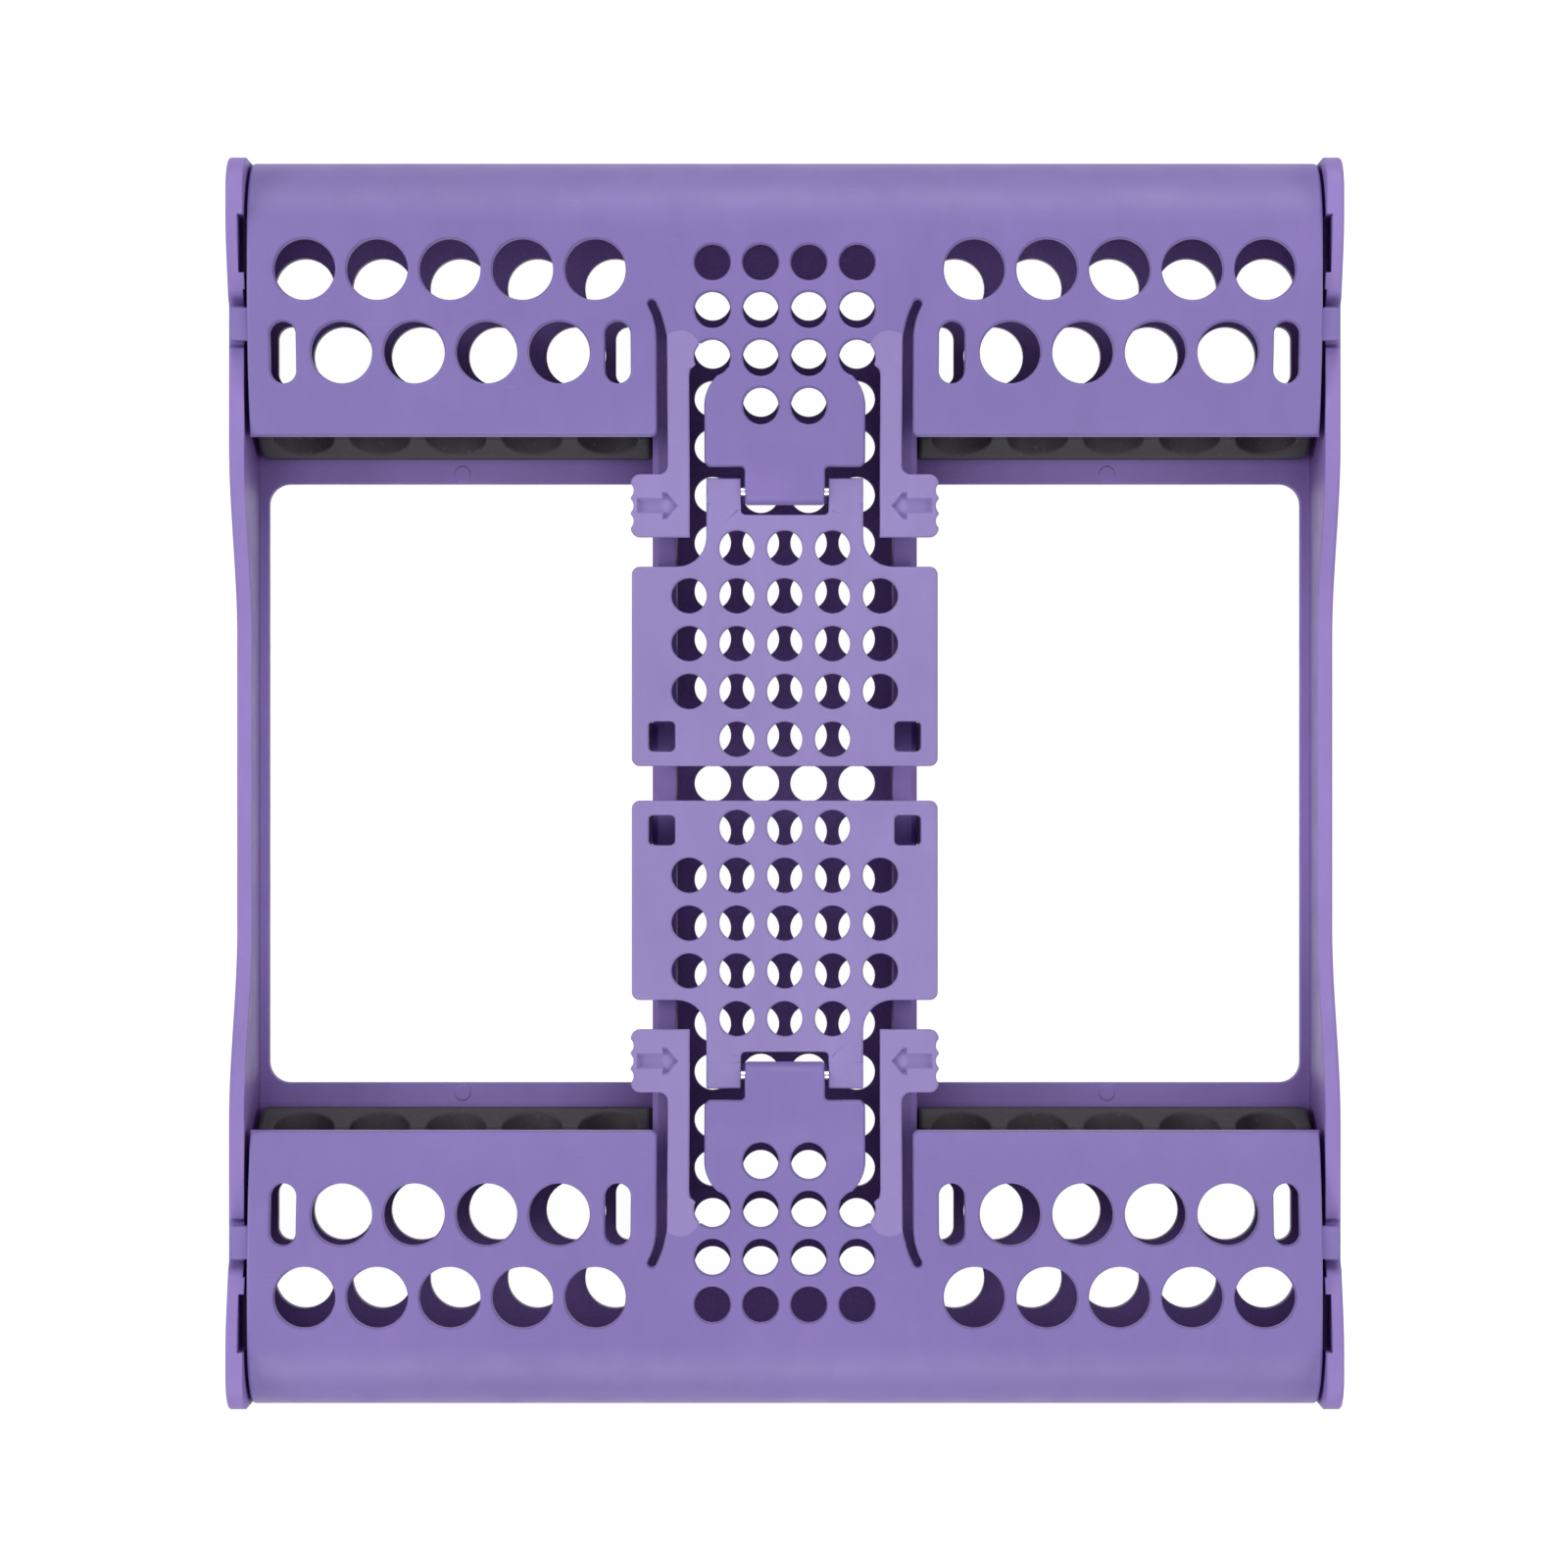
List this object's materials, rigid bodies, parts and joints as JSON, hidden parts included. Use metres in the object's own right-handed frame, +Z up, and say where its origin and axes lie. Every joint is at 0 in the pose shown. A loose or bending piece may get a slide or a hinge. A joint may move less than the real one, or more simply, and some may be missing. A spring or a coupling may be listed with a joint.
{
  "type": "dental instrument cassette",
  "caption": "Open-frame resin cassette that holds dental hand instruments in silicone rails under two hinged, latching lids, with a covered centre channel.",
  "frame": {"origin": "bottom centre of the cassette as it lies flat with its lids closed", "axes": "+Z up, +Y to the rear lid along the instruments, +X to the right"},
  "size_m": [0.1804, 0.2032, 0.032],
  "materials": {
    "resin": "satin moulded resin, soft purple",
    "silicone": "matte dark grey silicone",
    "steel": "ground stainless pin"
  },
  "bodies": {
    "base": {"base_frame": "resin", "rear_left_instrument_rail": "silicone", "rear_right_instrument_rail": "silicone", "front_left_instrument_rail": "silicone", "front_right_instrument_rail": "silicone"},
    "rear_lid_body": {"rear_lid": "resin", "rear_cover_pin": "steel"},
    "rear_cover_body": {"rear_cover": "resin"},
    "rear_left_latch_body": {"rear_left_latch_arm": "resin"},
    "rear_right_latch_body": {"rear_right_latch_arm": "resin"},
    "front_lid_body": {"front_lid": "resin", "front_cover_pin": "steel"},
    "front_cover_body": {"front_cover": "resin"},
    "front_left_latch_body": {"front_left_latch_arm": "resin"},
    "front_right_latch_body": {"front_right_latch_arm": "resin"}
  },
  "joints": [
    {"name": "rear_lid_hinge", "type": "hinge", "parent": "base", "child": "rear_lid_body", "pos_m": [0, 0.0897, 0.0188], "axis": [-1, 0, 0], "range_deg": [0, 110]},
    {"name": "rear_cover_hinge", "type": "hinge", "parent": "rear_lid_body", "child": "rear_cover_body", "pos_m": [0, 0.0476, 0.0221], "axis": [-1, 0, 0], "range_deg": [0, 120]},
    {"name": "rear_left_latch_flex", "type": "hinge", "parent": "rear_lid_body", "child": "rear_left_latch_body", "pos_m": [-0.0169, 0.07, 0.0265], "axis": [0, 0, 1], "range_deg": [0, 2.5], "stiffness_Nm_per_rad": 1},
    {"name": "rear_right_latch_flex", "type": "hinge", "parent": "rear_lid_body", "child": "rear_right_latch_body", "pos_m": [0.0169, 0.07, 0.0265], "axis": [0, 0, -1], "range_deg": [0, 2.5], "stiffness_Nm_per_rad": 1},
    {"name": "front_lid_hinge", "type": "hinge", "parent": "base", "child": "front_lid_body", "pos_m": [0, -0.0897, 0.0188], "axis": [1, 0, 0], "range_deg": [0, 110]},
    {"name": "front_cover_hinge", "type": "hinge", "parent": "front_lid_body", "child": "front_cover_body", "pos_m": [0, -0.0476, 0.0221], "axis": [1, 0, 0], "range_deg": [0, 120]},
    {"name": "front_left_latch_flex", "type": "hinge", "parent": "front_lid_body", "child": "front_left_latch_body", "pos_m": [-0.0169, -0.07, 0.0265], "axis": [0, 0, -1], "range_deg": [0, 2.5], "stiffness_Nm_per_rad": 1},
    {"name": "front_right_latch_flex", "type": "hinge", "parent": "front_lid_body", "child": "front_right_latch_body", "pos_m": [0.0169, -0.07, 0.0265], "axis": [0, 0, 1], "range_deg": [0, 2.5], "stiffness_Nm_per_rad": 1}
  ]
}
